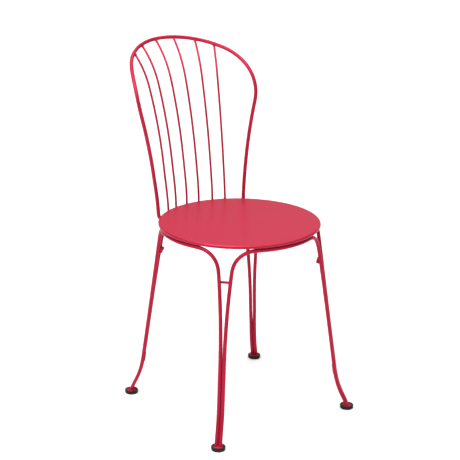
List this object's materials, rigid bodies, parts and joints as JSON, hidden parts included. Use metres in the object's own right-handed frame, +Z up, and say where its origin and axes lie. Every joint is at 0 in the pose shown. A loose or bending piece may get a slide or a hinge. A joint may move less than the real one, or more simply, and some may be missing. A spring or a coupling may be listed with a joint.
{
  "type": "bistro chair",
  "caption": "Stacking garden bistro chair of bent steel rod: round sheet-steel seat on a bar ring, splayed leg bows on black foot glides, and a curved hoop back with fanned spindles.",
  "frame": {"origin": "on the floor, in the middle of the chair's box (from the front glides to the crest of the back)", "axes": "+Z up; the sitter faces -Y, so +Y is the back of the chair, and the sitter's left is +X"},
  "size_m": [0.412, 0.5222, 0.8503],
  "materials": {
    "red_powder_coat": "satin red powder coat on steel",
    "black_glide": "matt black moulded plastic"
  },
  "bodies": {
    "root": {"seat_pan": "red_powder_coat", "seat_ring": "red_powder_coat", "front_leg_bow": "red_powder_coat", "rear_leg_bow": "red_powder_coat", "left_leg_bow": "red_powder_coat", "right_leg_bow": "red_powder_coat", "front_left_stacking_stop": "red_powder_coat", "front_right_stacking_stop": "red_powder_coat", "rear_left_stacking_stop": "red_powder_coat", "rear_right_stacking_stop": "red_powder_coat", "front_left_leg_weld": "red_powder_coat", "front_right_leg_weld": "red_powder_coat", "rear_left_leg_weld": "red_powder_coat", "rear_right_leg_weld": "red_powder_coat", "front_left_foot_disc": "red_powder_coat", "front_right_foot_disc": "red_powder_coat", "rear_left_foot_disc": "red_powder_coat", "rear_right_foot_disc": "red_powder_coat", "front_left_glide": "black_glide", "front_right_glide": "black_glide", "rear_left_glide": "black_glide", "rear_right_glide": "black_glide", "back_hoop": "red_powder_coat", "back_spindle_1": "red_powder_coat", "back_spindle_2": "red_powder_coat", "back_spindle_3": "red_powder_coat", "back_spindle_4": "red_powder_coat", "back_spindle_5": "red_powder_coat", "back_spindle_6": "red_powder_coat"}
  },
  "joints": []
}
